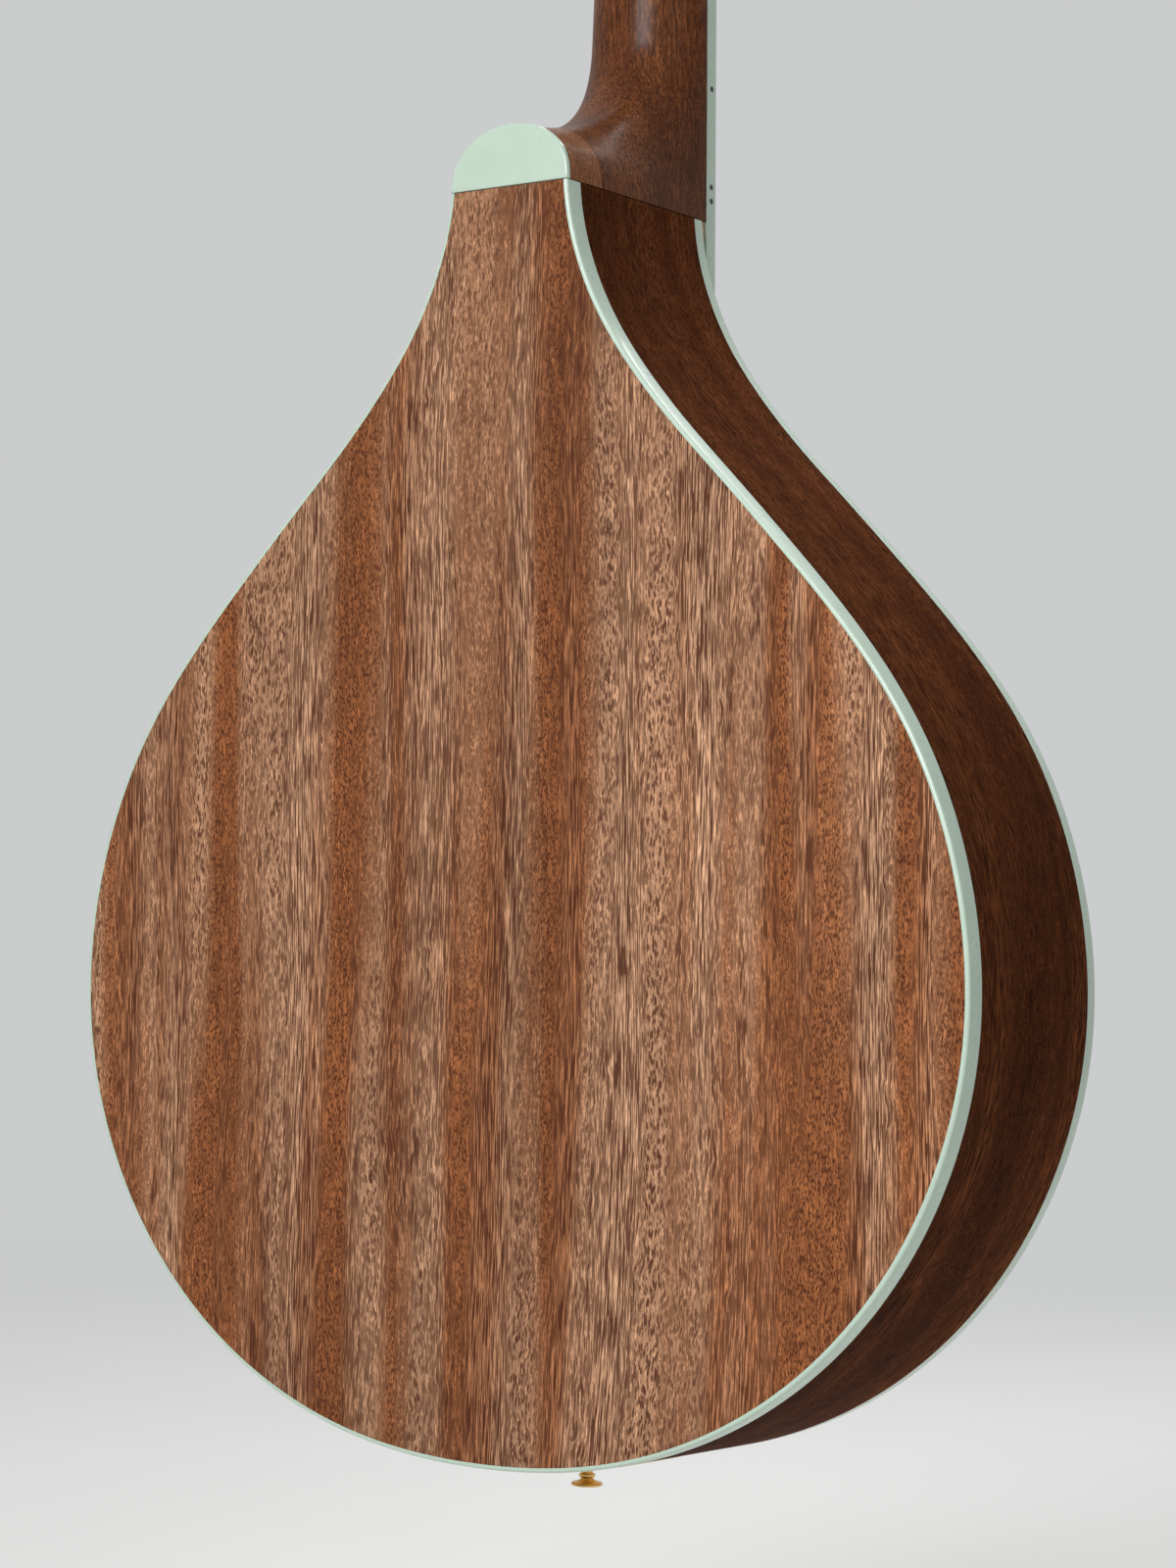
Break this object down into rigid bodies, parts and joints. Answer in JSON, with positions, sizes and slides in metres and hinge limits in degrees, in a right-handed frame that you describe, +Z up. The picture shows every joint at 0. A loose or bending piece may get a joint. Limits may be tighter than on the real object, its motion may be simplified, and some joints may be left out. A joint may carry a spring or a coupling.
{
  "type": "octave mandolin",
  "caption": "Flat-top, onion-shaped octave mandolin: bound body with a round sound hole, bolted neck with domed heel cap, paired strings and open-geared tuners.",
  "frame": {"origin": "between the headstock's shoulders, just above the nut, where a wall hanger's prongs carry it", "axes": "+Z up along the neck, -Y towards the strings' side, +Y out of the back, +X the treble side"},
  "size_m": [0.3478, 0.0891, 0.841],
  "materials": {
    "back_wood": "gloss lacquer over striped grain",
    "side_wood": "gloss lacquer",
    "top_wood": "gloss lacquer over fine straight grain",
    "neck_wood": "gloss lacquer",
    "inner_wood": "bare",
    "brace_wood": "bare",
    "dark_wood": "oiled",
    "binding": "polished cream",
    "bone": "polished",
    "cover_plastic": "polished black",
    "gold_metal": "polished",
    "string_steel": "drawn",
    "steel": "plain"
  },
  "bodies": {
    "frame": {"back_binding": "binding", "back_brace_1": "brace_wood", "back_brace_2": "brace_wood", "back_brace_3": "brace_wood", "back_lining": "inner_wood", "back_plate": "back_wood", "bridge": "dark_wood", "fingerboard": "dark_wood", "fingerboard_binding": "binding", "fingerboard_support": "inner_wood", "headstock_veneer": "dark_wood", "heel_block": "neck_wood", "heel_cap": "binding", "neck": "neck_wood", "neck_block": "inner_wood", "neck_bolt_1": "steel", "neck_bolt_2": "steel", "nut": "bone", "rosette": "binding", "saddle": "bone", "side_bass": "side_wood", "side_treble": "side_wood", "soundboard": "top_wood", "strap_button": "gold_metal", "string_1": "string_steel", "string_2": "string_steel", "string_3": "string_steel", "string_4": "string_steel", "string_5": "string_steel", "string_6": "string_steel", "string_7": "string_steel", "string_8": "string_steel", "tail_block": "inner_wood", "tailpiece": "gold_metal", "top_binding": "binding", "top_lining": "inner_wood", "truss_rod": "steel", "truss_rod_cover": "cover_plastic", "tuner_plate_bass": "gold_metal", "tuner_plate_treble": "gold_metal", "upper_brace": "brace_wood", "x_brace_bass": "brace_wood", "x_brace_treble": "brace_wood"},
    "knob_1": {"tuner_knob_1": "gold_metal"},
    "post_1": {"tuner_post_1": "gold_metal"},
    "knob_2": {"tuner_knob_2": "gold_metal"},
    "post_2": {"tuner_post_2": "gold_metal"},
    "knob_3": {"tuner_knob_3": "gold_metal"},
    "post_3": {"tuner_post_3": "gold_metal"},
    "knob_4": {"tuner_knob_4": "gold_metal"},
    "post_4": {"tuner_post_4": "gold_metal"},
    "knob_5": {"tuner_knob_5": "gold_metal"},
    "post_5": {"tuner_post_5": "gold_metal"},
    "knob_6": {"tuner_knob_6": "gold_metal"},
    "post_6": {"tuner_post_6": "gold_metal"},
    "knob_7": {"tuner_knob_7": "gold_metal"},
    "post_7": {"tuner_post_7": "gold_metal"},
    "knob_8": {"tuner_knob_8": "gold_metal"},
    "post_8": {"tuner_post_8": "gold_metal"},
    "truss_nut": {"truss_rod_nut": "steel"}
  },
  "joints": [
    {"name": "knob_1_spin", "type": "hinge", "parent": "frame", "child": "knob_1", "pos_m": [-0.0235, 0.02208, 0.02774], "axis": [1, 0, 0], "continuous": true},
    {"name": "post_1_turn", "type": "hinge", "parent": "frame", "child": "post_1", "pos_m": [-0.0235, 0.00185, 0.02503], "axis": [0, 0.9744, -0.225], "continuous": true},
    {"name": "knob_2_spin", "type": "hinge", "parent": "frame", "child": "knob_2", "pos_m": [-0.0235, 0.02725, 0.05015], "axis": [1, 0, 0], "continuous": true},
    {"name": "post_2_turn", "type": "hinge", "parent": "frame", "child": "post_2", "pos_m": [-0.0235, 0.00702, 0.04744], "axis": [0, 0.9744, -0.225], "continuous": true},
    {"name": "knob_3_spin", "type": "hinge", "parent": "frame", "child": "knob_3", "pos_m": [-0.0235, 0.03243, 0.07257], "axis": [1, 0, 0], "continuous": true},
    {"name": "post_3_turn", "type": "hinge", "parent": "frame", "child": "post_3", "pos_m": [-0.0235, 0.0122, 0.06985], "axis": [0, 0.9744, -0.225], "continuous": true},
    {"name": "knob_4_spin", "type": "hinge", "parent": "frame", "child": "knob_4", "pos_m": [-0.0235, 0.0376, 0.09498], "axis": [1, 0, 0], "continuous": true},
    {"name": "post_4_turn", "type": "hinge", "parent": "frame", "child": "post_4", "pos_m": [-0.0235, 0.01737, 0.09226], "axis": [0, 0.9744, -0.225], "continuous": true},
    {"name": "knob_5_spin", "type": "hinge", "parent": "frame", "child": "knob_5", "pos_m": [0.0235, 0.02208, 0.02774], "axis": [1, 0, 0], "continuous": true},
    {"name": "post_5_turn", "type": "hinge", "parent": "frame", "child": "post_5", "pos_m": [0.0235, 0.00185, 0.02503], "axis": [0, 0.9744, -0.225], "continuous": true},
    {"name": "knob_6_spin", "type": "hinge", "parent": "frame", "child": "knob_6", "pos_m": [0.0235, 0.02725, 0.05015], "axis": [1, 0, 0], "continuous": true},
    {"name": "post_6_turn", "type": "hinge", "parent": "frame", "child": "post_6", "pos_m": [0.0235, 0.00702, 0.04744], "axis": [0, 0.9744, -0.225], "continuous": true},
    {"name": "knob_7_spin", "type": "hinge", "parent": "frame", "child": "knob_7", "pos_m": [0.0235, 0.03243, 0.07257], "axis": [1, 0, 0], "continuous": true},
    {"name": "post_7_turn", "type": "hinge", "parent": "frame", "child": "post_7", "pos_m": [0.0235, 0.0122, 0.06985], "axis": [0, 0.9744, -0.225], "continuous": true},
    {"name": "knob_8_spin", "type": "hinge", "parent": "frame", "child": "knob_8", "pos_m": [0.0235, 0.0376, 0.09498], "axis": [1, 0, 0], "continuous": true},
    {"name": "post_8_turn", "type": "hinge", "parent": "frame", "child": "post_8", "pos_m": [0.0235, 0.01737, 0.09226], "axis": [0, 0.9744, -0.225], "continuous": true},
    {"name": "truss_rod_nut_turn", "type": "hinge", "parent": "frame", "child": "truss_nut", "pos_m": [0, 0.0002, -0.0105], "axis": [0, 0, 1], "range_deg": [-180, 180]}
  ],
  "couplings": [
    {"joint": "post_1_turn", "follows": "knob_1_spin", "ratio": -0.071429},
    {"joint": "post_2_turn", "follows": "knob_2_spin", "ratio": -0.071429},
    {"joint": "post_3_turn", "follows": "knob_3_spin", "ratio": -0.071429},
    {"joint": "post_4_turn", "follows": "knob_4_spin", "ratio": -0.071429},
    {"joint": "post_5_turn", "follows": "knob_5_spin", "ratio": -0.071429},
    {"joint": "post_6_turn", "follows": "knob_6_spin", "ratio": -0.071429},
    {"joint": "post_7_turn", "follows": "knob_7_spin", "ratio": -0.071429},
    {"joint": "post_8_turn", "follows": "knob_8_spin", "ratio": -0.071429}
  ]
}
